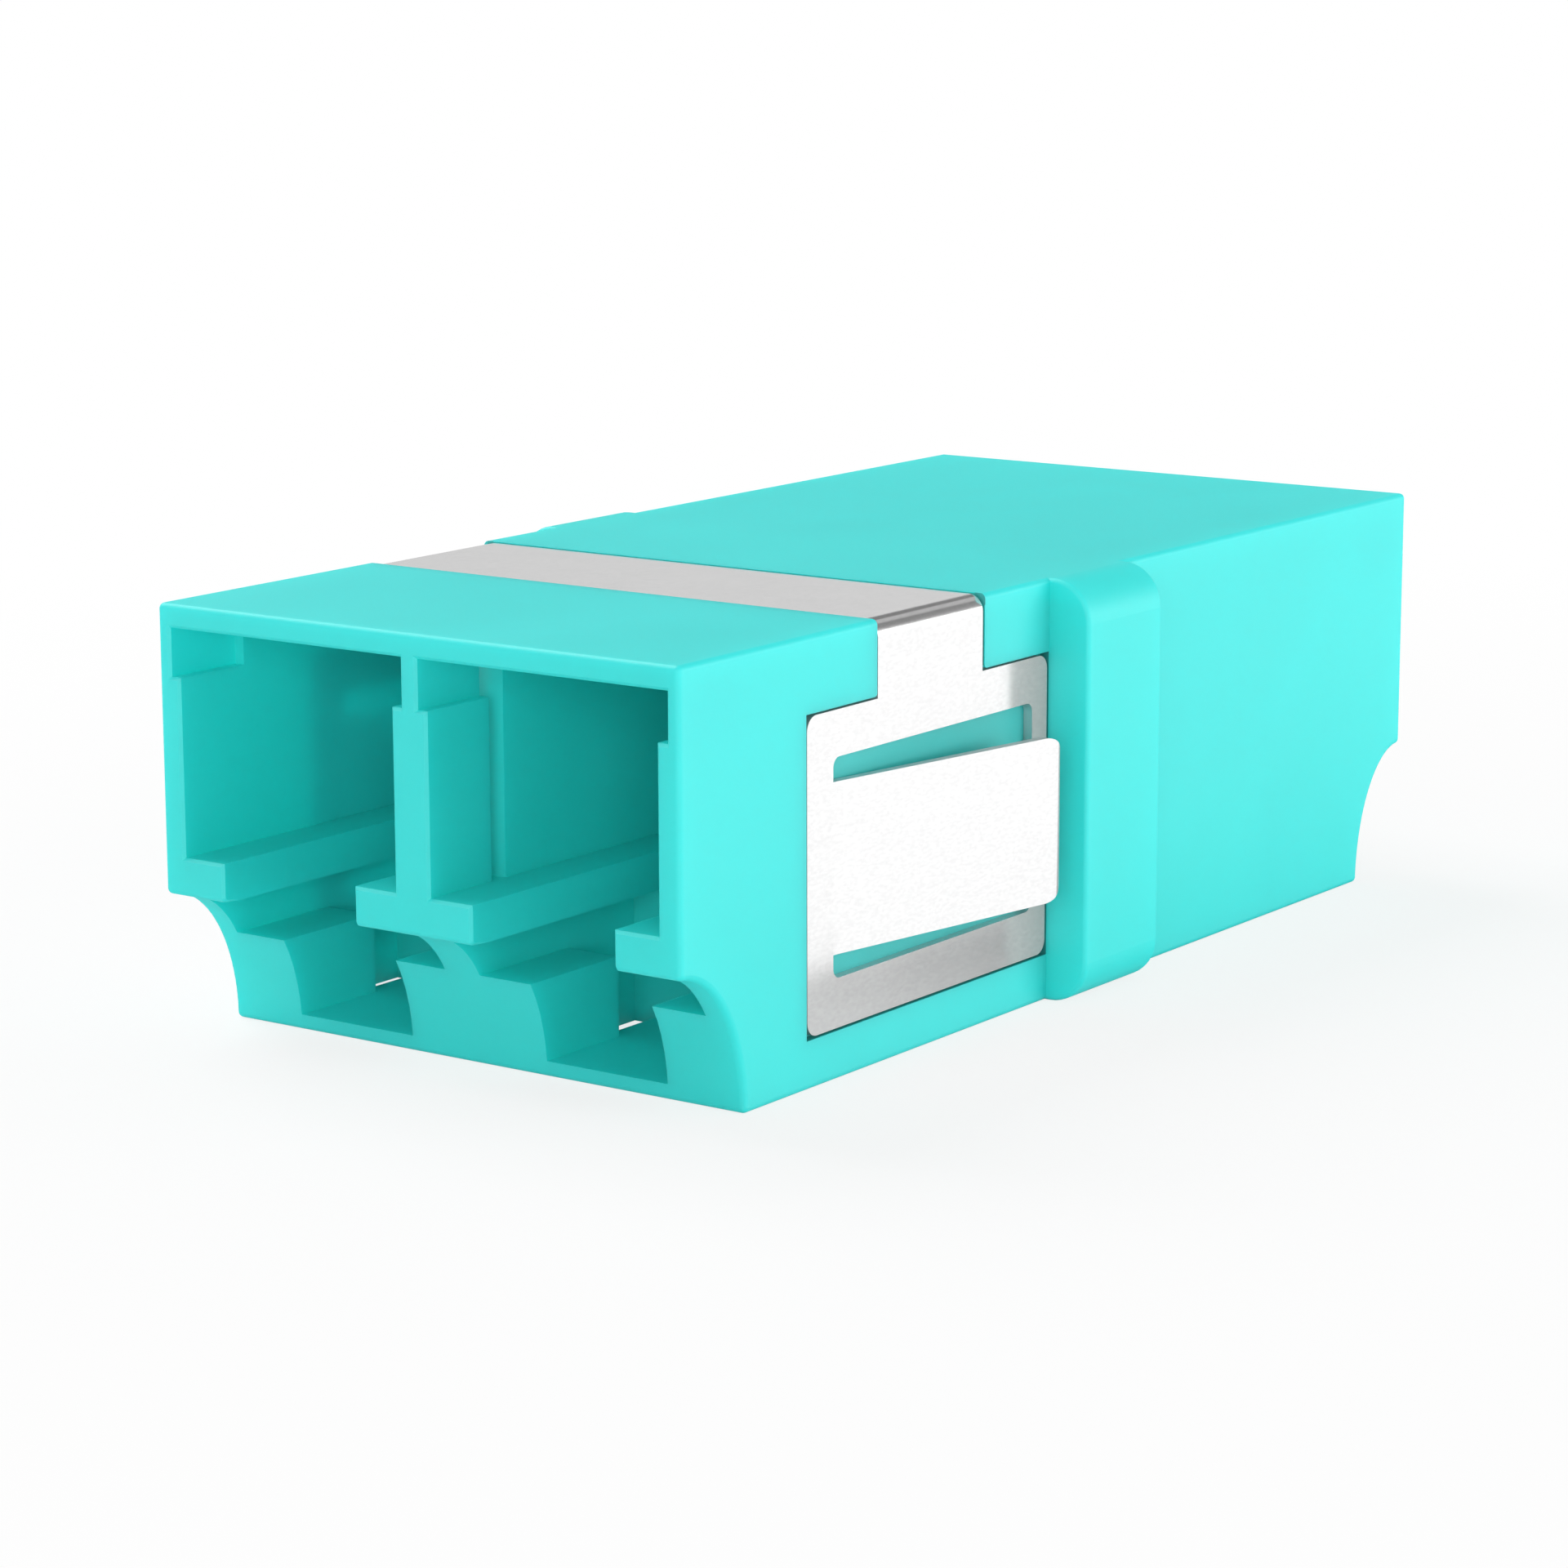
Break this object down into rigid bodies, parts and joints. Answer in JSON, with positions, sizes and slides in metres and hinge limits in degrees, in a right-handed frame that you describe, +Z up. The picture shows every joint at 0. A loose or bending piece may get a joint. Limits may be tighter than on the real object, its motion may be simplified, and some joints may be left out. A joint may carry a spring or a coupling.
{
  "type": "duplex fibre adapter",
  "caption": "Duplex fibre optic adapter: a rectangular block with side-by-side ports at both ends, panel stop ribs and a folded spring clip with side tongues.",
  "frame": {"origin": "on the underside, at the middle of the length and of the width", "axes": "+Y from the clip end (front, shown in the picture) to the rear end, +X across the two channels to the right seen from the front, +Z up"},
  "size_m": [0.0148, 0.0278, 0.0088],
  "materials": {
    "body": "semi-matte moulded plastic, aqua",
    "clip": "bright rolled spring steel",
    "sleeve": "polished zirconia, off-white",
    "holder": "semi-matte moulded plastic, aqua"
  },
  "bodies": {
    "root": {"body": "body", "panel_clip": "clip", "sleeve_left": "sleeve", "sleeve_right": "sleeve", "holder_front_left": "holder", "holder_front_right": "holder", "holder_rear_left": "holder", "holder_rear_right": "holder"}
  },
  "joints": []
}
